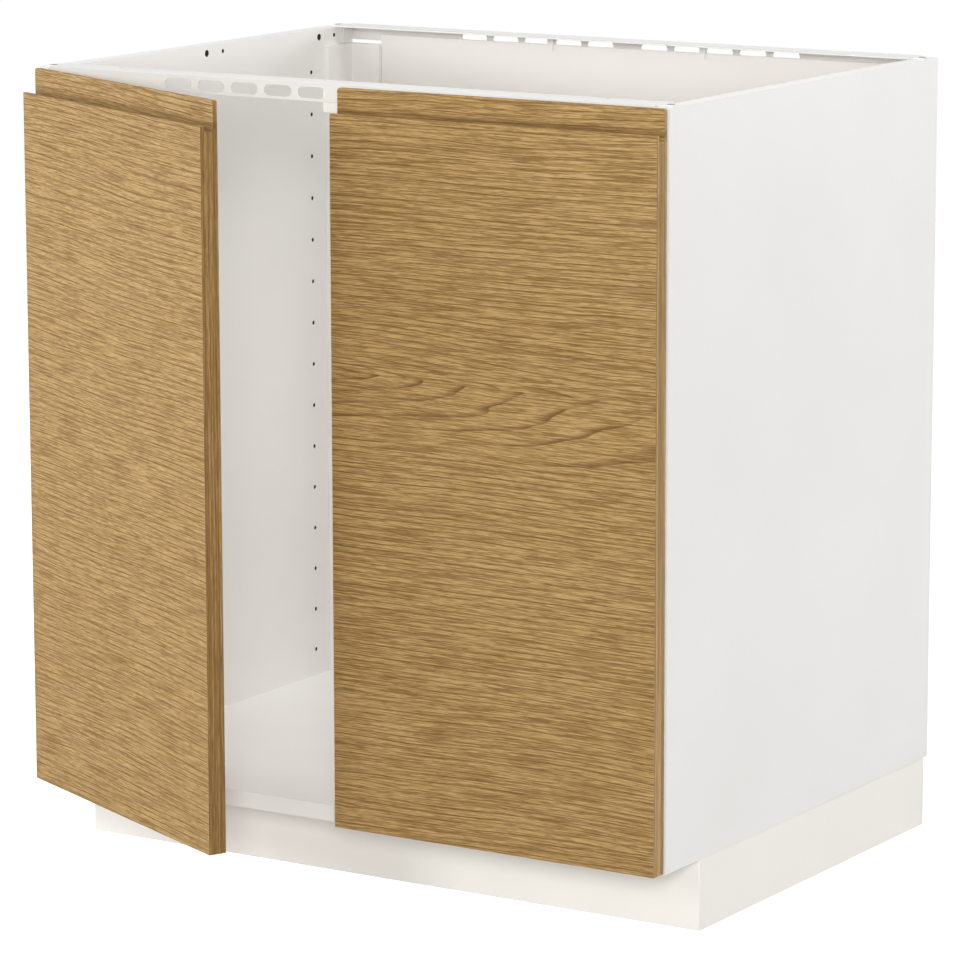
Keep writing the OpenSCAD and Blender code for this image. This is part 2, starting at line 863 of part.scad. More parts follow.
// Plinth boards: the front one covers the ends of the side ones
module plinth_front() {
    half = cabinet_width / 2 - plinth_side_inset;
    depth = plinth_thickness;
    color(plinth_white) translate([0, -depth / 2, 0]) linear_extrude(height = plinth_height) {
        translate([-half, plinth_round]) square([2 * half, depth - plinth_round]);
        translate([-half + plinth_round, 0]) square([2 * (half - plinth_round), depth]);
        for (side = [-1, 1])
            translate([side * (half - plinth_round), plinth_round]) circle(r = plinth_round);
    }
}

module plinth_side() {
    start = plinth_recess + plinth_thickness;
    color(plinth_white) translate([plinth_side_inset, start, 0])
        cube([plinth_thickness, cabinet_depth - plinth_rear_gap - start, plinth_height]);
}

module plinth_left() {
    left_side() plinth_side();
}

module plinth_right() {
    right_side() plinth_side();
}

// A clip that grips a leg tube and lies against a plinth's back, with the plinth towards -Y
module plinth_clip(reach, z) {
    ring = tube_radius + bore_clear + grip_ring;
    translate([0, 0, z]) difference() {
        union() {
            cylinder(h = ring_height, r = ring);
            translate([-clip_arm_width / 2, -reach, 0]) cube([clip_arm_width, reach, ring_height]);
            translate([-clip_plate_width / 2, -reach, 0])
                cube([clip_plate_width, clip_plate, ring_height]);
        }
        translate([0, 0, -overshoot])
            cylinder(h = ring_height + 2 * overshoot, r = tube_radius + bore_clear);
        translate([-ring, tube_radius / 2, -overshoot])
            cube([2 * ring, ring, ring_height + 2 * overshoot]);
    }
}

module plinth_clips() {
    side_reach = leg_side_inset - plinth_side_inset - plinth_thickness;
    color(leg_black) for (side = [-1, 1]) {
        leg_at(side, leg_front_y) plinth_clip(leg_front_clear, front_ring_z);
        for (y = [leg_front_y, leg_rear_y])
            leg_at(side, y) rotate([0, 0, side * 90]) plinth_clip(side_reach, side_ring_z);
    }
}

side_panel_left();
side_panel_right();
bottom_panel();
back_panel();
corner_post_left();
corner_post_right();
front_rail();
rear_rail();
rail_screws();
back_panel_clips();
door_stop_block();
panel_dowels();
door_left();
door_right();
bumpers_left();
bumpers_right();
left_side() hinge_plate(hinge_z[0]);  // hinge_plate_left_lower
left_side() hinge_plate(hinge_z[1]);  // hinge_plate_left_upper
right_side() hinge_plate(hinge_z[0]);  // hinge_plate_right_lower
right_side() hinge_plate(hinge_z[1]);  // hinge_plate_right_upper
left_side() hinge_arm(hinge_z[0]);  // hinge_arm_left_lower
left_side() hinge_arm(hinge_z[1]);  // hinge_arm_left_upper
right_side() hinge_arm(hinge_z[0]);  // hinge_arm_right_lower
right_side() hinge_arm(hinge_z[1]);  // hinge_arm_right_upper
left_side() swung_link(door_left_open) hinge_link(hinge_z[0]);  // hinge_link_left_lower
left_side() swung_link(door_left_open) hinge_link(hinge_z[1]);  // hinge_link_left_upper
right_side() swung_link(door_right_open) hinge_link(hinge_z[0]);  // hinge_link_right_lower
right_side() swung_link(door_right_open) hinge_link(hinge_z[1]);  // hinge_link_right_upper
left_side() swung_door(door_left_open) hinge_cup(hinge_z[0]);  // hinge_cup_left_lower
left_side() swung_door(door_left_open) hinge_cup(hinge_z[1]);  // hinge_cup_left_upper
right_side() swung_door(door_right_open) hinge_cup(hinge_z[0]);  // hinge_cup_right_lower
right_side() swung_door(door_right_open) hinge_cup(hinge_z[1]);  // hinge_cup_right_upper
left_side() arm_pins();  // arm_pins_left
right_side() arm_pins();  // arm_pins_right
left_side() swung_door(door_left_open) cup_pins();  // cup_pins_left
right_side() swung_door(door_right_open) cup_pins();  // cup_pins_right
plate_screws();
arm_screws();
left_side() swung_door(door_left_open) cup_screws();  // cup_screws_left
right_side() swung_door(door_right_open) cup_screws();  // cup_screws_right
leg_at(-1, leg_front_y) leg_socket();  // leg_socket_front_left
leg_at(1, leg_front_y) leg_socket();  // leg_socket_front_right
leg_at(-1, leg_rear_y) leg_socket();  // leg_socket_rear_left
leg_at(1, leg_rear_y) leg_socket();  // leg_socket_rear_right
leg_at(-1, leg_front_y) leg_tube();  // leg_tube_front_left
leg_at(1, leg_front_y) leg_tube();  // leg_tube_front_right
leg_at(-1, leg_rear_y) leg_tube();  // leg_tube_rear_left
leg_at(1, leg_rear_y) leg_tube();  // leg_tube_rear_right
leg_at(-1, leg_front_y) foot();  // foot_front_left
leg_at(1, leg_front_y) foot();  // foot_front_right
leg_at(-1, leg_rear_y) foot();  // foot_rear_left
leg_at(1, leg_rear_y) foot();  // foot_rear_right
socket_screws();
plinth_front();
plinth_left();
plinth_right();
plinth_clips();
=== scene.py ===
"""Dresses the kitchen sink base cabinet: materials, softened edges, screws, light and camera."""

import json
import math

import bmesh
import bpy
from mathutils import Matrix, Vector


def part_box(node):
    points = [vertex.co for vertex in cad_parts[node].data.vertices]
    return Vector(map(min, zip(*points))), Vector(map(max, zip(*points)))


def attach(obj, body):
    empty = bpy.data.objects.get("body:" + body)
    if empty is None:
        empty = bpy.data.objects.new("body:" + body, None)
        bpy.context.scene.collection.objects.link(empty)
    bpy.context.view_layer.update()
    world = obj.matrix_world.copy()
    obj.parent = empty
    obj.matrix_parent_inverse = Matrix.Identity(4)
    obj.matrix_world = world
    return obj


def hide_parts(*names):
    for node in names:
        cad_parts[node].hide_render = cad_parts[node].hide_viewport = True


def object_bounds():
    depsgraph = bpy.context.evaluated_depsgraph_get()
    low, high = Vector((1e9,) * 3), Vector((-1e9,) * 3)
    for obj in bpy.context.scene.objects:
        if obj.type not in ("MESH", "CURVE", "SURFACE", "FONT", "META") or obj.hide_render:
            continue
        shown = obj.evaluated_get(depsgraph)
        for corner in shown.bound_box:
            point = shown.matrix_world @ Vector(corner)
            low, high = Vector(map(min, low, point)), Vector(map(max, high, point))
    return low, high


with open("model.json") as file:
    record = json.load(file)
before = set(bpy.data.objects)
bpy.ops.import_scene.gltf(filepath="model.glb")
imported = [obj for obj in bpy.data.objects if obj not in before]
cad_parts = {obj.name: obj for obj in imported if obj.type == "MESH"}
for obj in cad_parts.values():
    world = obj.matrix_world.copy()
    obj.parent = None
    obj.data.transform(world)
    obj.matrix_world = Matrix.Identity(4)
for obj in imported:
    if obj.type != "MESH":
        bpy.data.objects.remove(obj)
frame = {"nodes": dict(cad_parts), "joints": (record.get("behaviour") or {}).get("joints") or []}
cad_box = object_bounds()
nodes = frame["nodes"]

# Metres and radians. The left door's rest angle is the one that it has in the part's source.
LEFT_OPEN = math.radians(25.5)
CORNERS = ("front_left", "front_right", "rear_left", "rear_right")
SIDES = ("left", "right")
ENDS = ("lower", "upper")
X_AXIS = Vector((1, 0, 0))
Y_AXIS = Vector((0, 1, 0))
Z_AXIS = Vector((0, 0, 1))
WHITE = (1, 1, 1, 1)


# Node helpers
class Graph:
    """A material with short calls for the nodes that its surfaces are made of."""

    def __init__(self, name, roughness=0.5, shader=None):
        self.material = bpy.data.materials.new(name)
        self.material.use_nodes = True
        self.tree = self.material.node_tree
        self.shader = self.tree.nodes["Principled BSDF"]
        self.set("Roughness", roughness)
        for key, value in (shader or {}).items():
            self.set(key, value)

    def feed(self, socket, value):
        """Links a socket to another node's output, or gives it a plain value."""
        if isinstance(value, bpy.types.NodeSocket):
            self.tree.links.new(value, socket)
        else:
            socket.default_value = value

    def set(self, socket, value):
        self.feed(self.shader.inputs[socket], value)

    def node(self, kind, inputs=None, **settings):
        made = self.tree.nodes.new(kind)
        for key, value in settings.items():
            setattr(made, key, value)
        for key, value in (inputs or {}).items():
            self.feed(made.inputs[key], value)
        return made

    def place(self, which="Object"):
        """The surface's own place or normal, which stays with the piece when it moves."""
        return self.node("ShaderNodeTexCoord").outputs[which]

    def math(self, operation, *values):
        inputs = dict(enumerate(values))
        return self.node("ShaderNodeMath", inputs, operation=operation).outputs[0]

    def split(self, vector):
        return self.node("ShaderNodeSeparateXYZ", {0: vector}).outputs

    def join(self, x, y, z):
        return self.node("ShaderNodeCombineXYZ", {0: x, 1: y, 2: z}).outputs[0]

    def noise(self, vector, scale, detail=3.0, roughness=0.55, distortion=0.0):
        mapped = self.node("ShaderNodeMapping", {"Vector": vector, "Scale": scale})
        inputs = {
            "Vector": mapped.outputs[0],
            "Scale": 1.0,
            "Detail": detail,
            "Roughness": roughness,
            "Distortion": distortion,
        }
        return self.node("ShaderNodeTexNoise", inputs).outputs["Fac"]

    def fit(self, value, low, high, to_low=0.0, to_high=1.0):
        keys = ("Value", "From Min", "From Max", "To Min", "To Max")
        inputs = dict(zip(keys, (value, low, high, to_low, to_high)))
        return self.node("ShaderNodeMapRange", inputs, clamp=True).outputs[0]

    def blend(self, data_type, share, first, second):
        """The first value where share is 0, and the second one where it is 1."""
        made = self.node("ShaderNodeMix", data_type=data_type)
        ends = [i for i in made.inputs if i.type == data_type][-2:]
        for socket, value in zip((made.inputs["Factor"], *ends), (share, first, second)):
            self.feed(socket, value)
        return next(o for o in made.outputs if o.type == data_type)

    def mix(self, share, first, second):
        return self.blend("RGBA", share, first, second)

    def pick(self, share, first, second):
        return self.blend("VECTOR", share, first, second)

    def bump(self, height, depth):
        """Raises the surface where height is 1, by depth in metres."""
        inputs = {"Height": height, "Strength": 1.0, "Distance": depth}
        self.set("Normal", self.node("ShaderNodeBump", inputs).outputs[0])


def seen_directly(tree):
    """1 for what the camera, gloss and clear plastic see, and 0 for the light on the object."""
    path = tree.nodes.new("ShaderNodeLightPath")
    shown = path.outputs["Is Camera Ray"]
    for ray in ("Is Glossy Ray", "Is Transmission Ray"):
        both = tree.nodes.new("ShaderNodeMath")
        both.operation = "MAXIMUM"
        tree.links.new(shown, both.inputs[0])
        tree.links.new(path.outputs[ray], both.inputs[1])
        shown = both.outputs[0]
    return shown


def srgb(red, green, blue):
    """A colour from its display values, 0 to 255."""

    def linear(value):
        share = value / 255
        return share / 12.92 if share <= 0.04045 else ((share + 0.055) / 1.055) ** 2.4

    return (linear(red), linear(green), linear(blue), 1.0)


# Oak foil
OAK_LIGHT = srgb(203, 171, 118)
OAK_MAIN = srgb(184, 151, 99)
OAK_WARM = srgb(179, 145, 93)
OAK_DARK = srgb(112, 83, 45)
# The next two colours are painted shade and painted light, for the ends of the left and the
# right door
OAK_SHADED = srgb(138, 104, 62)
OAK_PAINTED_LIGHT = srgb(222, 190, 140)
EDGE_SHARE = 0.35
EDGE_FACING = 0.6
RINGS_PER_METRE = 150
RING_DRIFT = 5
RING_BEND = 0.025
FIBRE_BEND = 0.015
FOLD_ROUND = 0.004
CROWDED = 0.075
CROSSING = 0.11
FOIL_EDGE = 0.0006
FOIL_LINE = 0.00018
LEAF = 0.004
GRIP_DEPTH = 0.026
GRIP_SHADE = 0.006


def oak(name, turn, hinge, middle, shift, slope, band, reach, spread, edge):
    """Oak foil with its grain along the door. Its two ends have their grain upright.

    turn is the door's angle at rest and hinge the point that it turns about. The growth rings
    lie on both sides of a line at the height band, and fall by slope along the door. Close to
    the line they cross it, reach of them in a metre, counted from middle. Below the line they
    lie far apart, and spread is the number that are missing there. shift moves the pattern,
    so no two doors are alike. edge is the colour that the ends lean towards: painted shade
    where it is darker than the face, and painted light where it is lighter.
    """
    g = Graph(name, roughness=0.55, shader={"Specular IOR Level": 0.06})

    def door_axes(which, origin):
        inputs = {0: g.place(which), 1: origin}
        moved = g.node("ShaderNodeVectorMath", inputs, operation="SUBTRACT")
        inputs = {"Vector": moved.outputs[0], "Angle": turn}
        return g.node("ShaderNodeVectorRotate", inputs, rotation_type="Z_AXIS").outputs[0]

    along, back, up = g.split(door_axes("Object", hinge))
    side, facing, level = g.split(door_axes("Normal", (0, 0, 0)))
    is_side = g.math("GREATER_THAN", g.math("ABSOLUTE", side), EDGE_FACING)
    is_level = g.math("GREATER_THAN", g.math("ABSOLUTE", level), EDGE_FACING)
    is_edge = g.math("MAXIMUM", is_side, is_level)

    deep = g.math("ADD", back, shift)
    upright = g.join(up, deep, shift)
    flat = g.join(along, deep, shift)
    swell = g.noise(g.join(g.math("ADD", along, shift), shift, up), (2.2, 1, 3.4), detail=1.0)
    tilt = g.math("MULTIPLY", along, slope)

    def grain(bend):
        """Coordinates along the grain, which is bent by a share of the swell."""
        height = g.math("ADD", up, g.math("MULTIPLY_ADD", swell, bend, tilt))
        face = g.join(along, height, shift)
        return height, g.pick(is_level, g.pick(is_side, face, upright), flat)

    height, curved = grain(RING_BEND)
    _, straight = grain(FIBRE_BEND)

    # The rings' number at each point. It folds over at the line.
    from_line = g.math("SUBTRACT", height, band - hinge[2] + RING_BEND)
    gap = g.math("SQRT", g.math("MULTIPLY_ADD", from_line, from_line, FOLD_ROUND**2))
    below = g.math("LESS_THAN", from_line, 0.0)
    missing = g.math("MULTIPLY", g.fit(gap, 0.0, CROWDED, 0.0, spread), below)
    from_middle = g.math("SUBTRACT", along, middle)
    crossing = g.math("MULTIPLY", from_middle, g.fit(gap, 0.0, CROSSING, reach, 0.0))
    stacked = g.math("MULTIPLY_ADD", gap, RINGS_PER_METRE, crossing)
    on_face = g.math("SUBTRACT", stacked, missing)
    on_edge = g.math("MULTIPLY", deep, RINGS_PER_METRE)
    rings = g.math("MULTIPLY_ADD", g.math("SUBTRACT", on_edge, on_face), is_edge, on_face)

    # Each ring ends in a thin dark line that is broken into dashes.
    drift = g.noise(curved, (1.4, 8, 1), detail=4.0, roughness=0.5)
    ring = g.math("FRACT", g.math("MULTIPLY_ADD", drift, RING_DRIFT, rings))
    late = g.math("MULTIPLY", g.fit(ring, 0.73, 0.94), g.fit(ring, 1.0, 0.96))
    breaks = g.noise(straight, (6, 110, 1), detail=3.0)
    line = g.math("MULTIPLY", late, g.fit(breaks, 0.36, 0.56, 0.1, 1.0))

    # Fibres and pores between the lines, and upright stripes on the ends
    broad = g.noise(straight, (2.4, 14, 1), detail=3.0)
    fibre = g.noise(straight, (18, 680, 1), detail=2.0, roughness=0.6)
    fine = g.noise(straight, (70, 1300, 1), detail=1.0)
    dash = g.math("MULTIPLY", g.fit(fibre, 0.51, 0.59), g.fit(breaks, 0.65, 0.40, 0.55, 1.0))
    stripe = g.math("MULTIPLY", g.fit(g.noise(upright, (1.5, 260, 1)), 0.46, 0.58), is_side)

    colour = g.mix(g.fit(broad, 0.36, 0.62), OAK_MAIN, OAK_WARM)
    colour = g.mix(g.math("MULTIPLY", g.fit(fibre, 0.50, 0.40), 0.45), colour, OAK_LIGHT)
    colour = g.mix(g.math("MULTIPLY", g.fit(fine, 0.47, 0.62), 0.5), colour, OAK_DARK)
    colour = g.mix(g.math("MULTIPLY", dash, 0.62), colour, OAK_DARK)
    colour = g.mix(g.math("MULTIPLY", line, 0.9), colour, OAK_DARK)
    # The ends lean towards edge, which paints shade on the left door's ends and light on the
    # right door's ends
    colour = g.mix(g.math("MULTIPLY", is_side, EDGE_SHARE), colour, edge)
    colour = g.mix(g.math("MULTIPLY", stripe, 0.45), colour, OAK_DARK)

    # The foil's joint along the ends, and painted shade on the back of the grip just below its
    # top, where the lip shades the channel
    from_face = g.math("ABSOLUTE", g.math("SUBTRACT", back, DOOR_FACE + FOIL_EDGE))
    joint = g.math("MULTIPLY", g.fit(from_face, FOIL_LINE, 2 * FOIL_LINE, 1, 0), is_side)
    colour = g.mix(g.math("MULTIPLY", joint, 0.6), colour, OAK_DARK)
    # Painted shade: darker on the faces behind the door's front, close to the grip's top
    from_grip = g.math("ABSOLUTE", g.math("SUBTRACT", up, GRIP_TOP - hinge[2]))
    behind = g.math("GREATER_THAN", back, DOOR_FACE + LEAF)
    hidden = g.math("MULTIPLY", behind, g.math("LESS_THAN", facing, 0.3))
    painted_grip_shade = g.math("MULTIPLY", g.fit(from_grip, GRIP_SHADE / 3, GRIP_SHADE, 1, 0), hidden)
    colour = g.mix(g.math("MULTIPLY", painted_grip_shade, 0.5), colour, OAK_DARK)
    g.set("Base Color", colour)

    cut = g.math("MULTIPLY_ADD", line, 0.8, dash)
    g.bump(g.math("SUBTRACT", g.math("MULTIPLY", fibre, 0.2), cut), 0.0002)
    g.set("Roughness", g.fit(fibre, 0.3, 0.7, 0.44, 0.6))
    return g.material


# White boards, steel and plastic
CORE_LIGHT = srgb(74, 58, 42)
CORE_DARK = srgb(46, 35, 25)
BAND_LINE = srgb(206, 202, 195)
BAND = 0.0006
BAND_WIDTH = 0.00012
SKIN = 0.0004


def satin_white(name, colour, mottle, roughness, grain=900, relief=0.00002):
    """A pale surface with a fine grain and a faint mottle."""
    g = Graph(name, roughness=roughness, shader={"Specular IOR Level": 0.4})
    place = g.place()
    cloud = g.noise(place, (5,) * 3, detail=2.0)
    fine = g.noise(place, (grain,) * 3, detail=2.0)
    shade = g.mix(g.fit(cloud, 0.3, 0.7), colour, mottle)
    g.set("Base Color", shade)
    g.set("Roughness", g.fit(fine, 0.25, 0.75, roughness - 0.05, roughness + 0.06))
    g.bump(fine, relief)
    return g, shade


def board(name, box, colour, mottle):
    """Coated board with an edge band in front, and with bare core in its drilled holes."""
    g, shade = satin_white(name, colour, mottle, 0.42)
    low, high = box
    parts = g.split(g.place())
    inside = None
    for value, start, end in zip(parts, low, high):
        above = g.math("GREATER_THAN", value, start + SKIN)
        below = g.math("LESS_THAN", value, end - SKIN)
        both = g.math("MULTIPLY", above, below)
        inside = both if inside is None else g.math("MULTIPLY", inside, both)
    from_band = g.math("ABSOLUTE", g.math("SUBTRACT", parts[1], low.y + BAND))
    line = g.fit(from_band, BAND_WIDTH, 2 * BAND_WIDTH, 1, 0)
    shade = g.mix(g.math("MULTIPLY", line, 0.5), shade, BAND_LINE)
    chips = g.noise(g.place(), (700,) * 3, detail=3.0)
    core = g.mix(g.fit(chips, 0.35, 0.65), CORE_LIGHT, CORE_DARK)
    g.set("Base Color", g.mix(inside, shade, core))
    return g.material


def fibreboard(name, colour, mottle):
    """White on the side that faces the doors, and bare pressed fibre behind."""
    g, shade = satin_white(name, colour, mottle, 0.5, grain=500, relief=0.00003)
    _, facing, _ = g.split(g.place("Normal"))
    fibres = g.noise(g.place(), (260, 260, 90), detail=5.0, roughness=0.7, distortion=0.6)
    bare = g.mix(g.fit(fibres, 0.35, 0.66), srgb(150, 117, 82), srgb(117, 87, 58))
    g.set("Base Color", g.mix(g.math("GREATER_THAN", facing, 0.5), shade, bare))
    return g.material


# Metal, black and clear plastic, and beech
def nickel(name, colour, roughness=0.28):
    """Plated steel, finely brushed, with slightly duller patches."""
    g = Graph(name, roughness=roughness, shader={"Metallic": 1.0})
    place = g.place()
    brushed = g.noise(place, (160, 2600, 160), detail=3.0)
    stain = g.noise(place, (120,) * 3, detail=3.0)
    dull = tuple(0.87 * part for part in colour[:3]) + (1.0,)
    g.set("Base Color", g.mix(g.fit(stain, 0.35, 0.7), colour, dull))
    g.set("Roughness", g.fit(brushed, 0.3, 0.7, roughness - 0.07, roughness + 0.14))
    g.bump(brushed, 0.000006)
    return g.material


def moulded_black(name):
    g = Graph(name, roughness=0.5, shader={"Specular IOR Level": 0.4})
    place = g.place()
    pits = g.noise(place, (1500,) * 3, detail=2.0)
    wear = g.noise(place, (70,) * 3, detail=4.0)
    g.set("Base Color", g.mix(g.fit(wear, 0.45, 0.75), srgb(33, 33, 34), srgb(52, 51, 50)))
    g.set("Roughness", g.fit(pits, 0.3, 0.7, 0.42, 0.6))
    g.bump(pits, 0.00004)
    return g.material


def beech(name):
    g = Graph(name, roughness=0.6)
    fibres = g.noise(g.place(), (60, 900, 900), detail=3.0)
    shade = g.mix(g.fit(fibres, 0.35, 0.7), srgb(214, 184, 138), srgb(178, 144, 100))
    g.set("Base Color", shade)
    g.bump(fibres, 0.00005)
    return g.material


def clear_pad(name):
    g = Graph(name, roughness=0.3, shader={"Transmission Weight": 0.6, "IOR": 1.45})
    cloud = g.noise(g.place(), (300,) * 3, detail=2.0)
    g.set("Base Color", g.mix(cloud, srgb(236, 238, 238), srgb(216, 219, 219)))
    g.bump(cloud, 0.00003)
    return g.material


# Softened edges. The weld joins the corners that the import keeps apart.
WELD = 0.000005
BEVEL_SEGMENTS = 2
BEVEL_ANGLE = math.radians(40)


def dress(names, material, width):
    """Gives nodes a material, and rounds their edges by width."""
    for name in names:
        piece = nodes[name]
        for place in piece.material_slots:
            place.material = material
        weld = piece.modifiers.new("weld", "WELD")
        weld.merge_threshold = WELD
        bevel = piece.modifiers.new("bevel", "BEVEL")
        bevel.width = width
        bevel.segments = BEVEL_SEGMENTS
        bevel.limit_method = "ANGLE"
        bevel.angle_limit = BEVEL_ANGLE
        bevel.harden_normals = True
        bevel.use_clamp_overlap = True


def each(pattern, *lists):
    """The names that a pattern gives with every choice of its words."""
    names = [()]
    for words in lists:
        names = [chosen + (word,) for chosen in names for word in words]
    return [pattern.format(*chosen) for chosen in names]


def pivot(name):
    """The point that a joint turns about."""
    return next(joint for joint in frame["joints"] if joint["name"] == name)["pos_m"]


left_hinge, right_hinge = (pivot(f"{side}_door_swing") for side in SIDES)
DOOR_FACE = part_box("door_right")[0].y - right_hinge[1]
GRIP_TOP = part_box("door_right")[1].z - GRIP_DEPTH

white = (srgb(242, 241, 239), srgb(239, 238, 235))
for panel in ("side_panel_left", "side_panel_right", "bottom_panel"):
    dress([panel], board("board_" + panel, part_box(panel), *white), 0.0004)
inner_white = (srgb(239, 237, 234), srgb(236, 233, 230))
dress(["back_panel"], fibreboard("board_back", *inner_white), 0.0002)
posts, _ = satin_white("foil_posts", srgb(242, 240, 237), srgb(239, 236, 233), 0.45)
dress(each("corner_post_{}", SIDES), posts.material, 0.0006)
steel_white = (srgb(232, 231, 228), srgb(229, 228, 224))
steel, _ = satin_white("steel_white", *steel_white, 0.33, grain=1400)
dress(["front_rail", "rear_rail"], steel.material, 0.00025)
plastic, _ = satin_white("plastic_white", srgb(240, 238, 234), srgb(236, 234, 229), 0.45)
dress(["back_panel_clips", "door_stop_block"], plastic.material, 0.0003)
plinth, _ = satin_white("foil_plinth", srgb(249, 245, 239), srgb(246, 242, 235), 0.4)
dress(each("plinth_{}", ("front", "left", "right")), plinth.material, 0.0005)

left_oak = oak(
    "oak_left",
    turn=LEFT_OPEN,
    hinge=left_hinge,
    middle=0.19,
    shift=3.1,
    slope=0.03,
    band=0.79,
    reach=-3.5,
    spread=4.0,
    # Painted shade on this door's ends
    edge=OAK_SHADED,
)
right_oak = oak(
    "oak_right",
    turn=0.0,
    hinge=right_hinge,
    middle=-0.19,
    shift=11.7,
    slope=0.0,
    band=0.567,
    reach=14.0,
    spread=6.75,
    # Painted light on this door's ends
    edge=OAK_PAINTED_LIGHT,
)
dress(["door_left"], left_oak, 0.0008)
dress(["door_right"], right_oak, 0.0008)

bright = nickel("nickel", srgb(206, 203, 198))
hinge_parts = ("plate", "arm", "link", "cup")
dress(each("hinge_{}_{}_{}", hinge_parts, SIDES, ENDS), bright, 0.0003)
dark = nickel("dark_zinc", srgb(120, 119, 117), 0.35)
dress(each("{}_pins_{}", ("arm", "cup"), SIDES), dark, 0.0002)
black = moulded_black("plastic_black")
dress(each("{}_{}", ("leg_socket", "leg_tube", "foot"), CORNERS), black, 0.0006)
dress(["plinth_clips"], black, 0.0004)
dress(["panel_dowels"], beech("beech"), 0.0006)
dress(each("bumpers_{}", SIDES), clear_pad("clear_pad"), 0.0004)
dress(["rail_screws"], nickel("black_zinc", srgb(70, 69, 68), 0.38), 0.0001)

# Screws with a domed head and a cross recess, in the place of the plain ones
SCREW_SIDES = 40
DOME_STEPS = 6
DOME_FLAT = 0.62
RIM_SHARE = 0.45
RECESS_REACH = 0.55
RECESS_HALF = 0.12
RECESS_DEPTH = 0.55
SHARP_ANGLE = math.radians(35)
SEAM = 1e-7
SLANTED = 0.01
FIRST_TURN = 23
NEXT_TURN = 47


def islands(piece):
    """The box of each separate solid in a node."""
    bm = bmesh.new()
    bm.from_mesh(piece.data)
    bmesh.ops.remove_doubles(bm, verts=bm.verts, dist=WELD)
    left = set(bm.verts)
    while left:
        group, front = set(), [min(left, key=lambda v: v.index)]
        while front:
            vertex = front.pop()
            if vertex in group:
                continue
            group.add(vertex)
            front.extend(edge.other_vert(vertex) for edge in vertex.link_edges)
        left -= group
        low = Vector(min(v.co[i] for v in group) for i in range(3))
        high = Vector(max(v.co[i] for v in group) for i in range(3))
        yield low, high
    bm.free()


def screw_body(name, head_radius, head_height, shank_radius, length):
    """The screw's outline, turned about its axis."""
    rim = RIM_SHARE * head_height
    tip, neck = -length, -head_height
    profile = [(0, tip), (0.35 * shank_radius, tip), (shank_radius, tip + 2 * shank_radius)]
    profile += [(shank_radius, neck), (0.96 * head_radius, neck)]
    profile += [(head_radius, neck + 0.3 * rim), (head_radius, -rim)]
    for step in range(1, DOME_STEPS + 1):
        turn = math.radians(90 * step / DOME_STEPS)
        radius = head_radius * (DOME_FLAT + (1 - DOME_FLAT) * math.cos(turn))
        profile.append((radius, -rim + rim * math.sin(turn)))
    profile.append((0, 0))
    bm = bmesh.new()
    line = [bm.verts.new((radius, 0, z)) for radius, z in profile]
    edges = [bm.edges.new(pair) for pair in zip(line, line[1:])]
    full = {"cent": (0, 0, 0), "axis": Z_AXIS, "angle": math.tau, "steps": SCREW_SIDES}
    bmesh.ops.spin(bm, geom=line + edges, use_duplicate=False, **full)
    bmesh.ops.remove_doubles(bm, verts=bm.verts, dist=SEAM)
    bmesh.ops.recalc_face_normals(bm, faces=bm.faces)
    mesh = bpy.data.meshes.new(name)
    bm.to_mesh(mesh)
    bm.free()
    return mesh


def recess_cutter(name, head_radius, head_height):
    """Two crossed bars that take the recess out of a head."""
    size = (RECESS_REACH * head_radius, RECESS_HALF * head_radius, RECESS_DEPTH * head_height)
    bm = bmesh.new()
    for turn in (0, 90):
        made = bmesh.ops.create_cube(bm, size=2)
        shape = Matrix.Rotation(math.radians(turn), 4, "Z") @ Matrix.Diagonal((*size, 1))
        bmesh.ops.transform(bm, matrix=shape, verts=made["verts"])
    mesh = bpy.data.meshes.new(name)
    bm.to_mesh(mesh)
    bm.free()
    return mesh


def screw_mesh(head_radius, head_height, shank_radius, length):
    """A screw along +Z with the top of its head at the origin."""
    scene = bpy.context.scene
    solid = screw_body("screw", head_radius, head_height, shank_radius, length)
    cutter = recess_cutter("screw_cutter", head_radius, head_height)
    body, tool = (bpy.data.objects.new(mesh.name, mesh) for mesh in (solid, cutter))
    for item in (body, tool):
        scene.collection.objects.link(item)
    cut = body.modifiers.new("recess", "BOOLEAN")
    cut.object, cut.solver, cut.use_self = tool, "EXACT", True
    bpy.context.view_layer.update()
    finished = body.evaluated_get(bpy.context.evaluated_depsgraph_get())
    made = bpy.data.meshes.new_from_object(finished)
    for item in (body, tool):
        bpy.data.objects.remove(item)
    for polygon in made.polygons:
        polygon.use_smooth = True
    made.set_sharp_from_angle(angle=SHARP_ANGLE)
    return made


def screw_length(axis, size, width):
    """A screw's length, from its axis, the size of its upright box and its width."""
    less, more = sorted((abs(axis.x), abs(axis.y)))
    if less > SLANTED:
        return (max(size.x, size.y) - width * less) / more
    return sum(abs(part) * extent for part, extent in zip(axis, size))


def screws(node, body, axis_of, head_radius, head_height, shank_radius):
    """One piece with every screw of a node. axis_of gives the way that a screw's head faces."""
    bm = bmesh.new()
    for index, (low, high) in enumerate(islands(nodes[node])):
        centre = (low + high) / 2
        axis = axis_of(centre)
        length = screw_length(axis, high - low, 2 * head_radius)
        kind = screw_mesh(head_radius, head_height, shank_radius, length)
        turned = Matrix.Rotation(math.radians(FIRST_TURN + NEXT_TURN * index), 4, "Z")
        facing = axis.to_track_quat("Z", "Y").to_matrix().to_4x4()
        kind.transform(Matrix.Translation(centre + axis * length / 2) @ facing @ turned)
        bm.from_mesh(kind)
    mesh = bpy.data.meshes.new(node + "_detail")
    bm.to_mesh(mesh)
    bm.free()
    mesh.materials.append(bright)
    mesh.set_sharp_from_angle(angle=SHARP_ANGLE)
    piece = bpy.data.objects.new(node + "_detail", mesh)
    bpy.context.scene.collection.objects.link(piece)
    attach(piece, body)
    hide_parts(node)


def inward(centre):
    return -X_AXIS if centre.x > 0 else X_AXIS


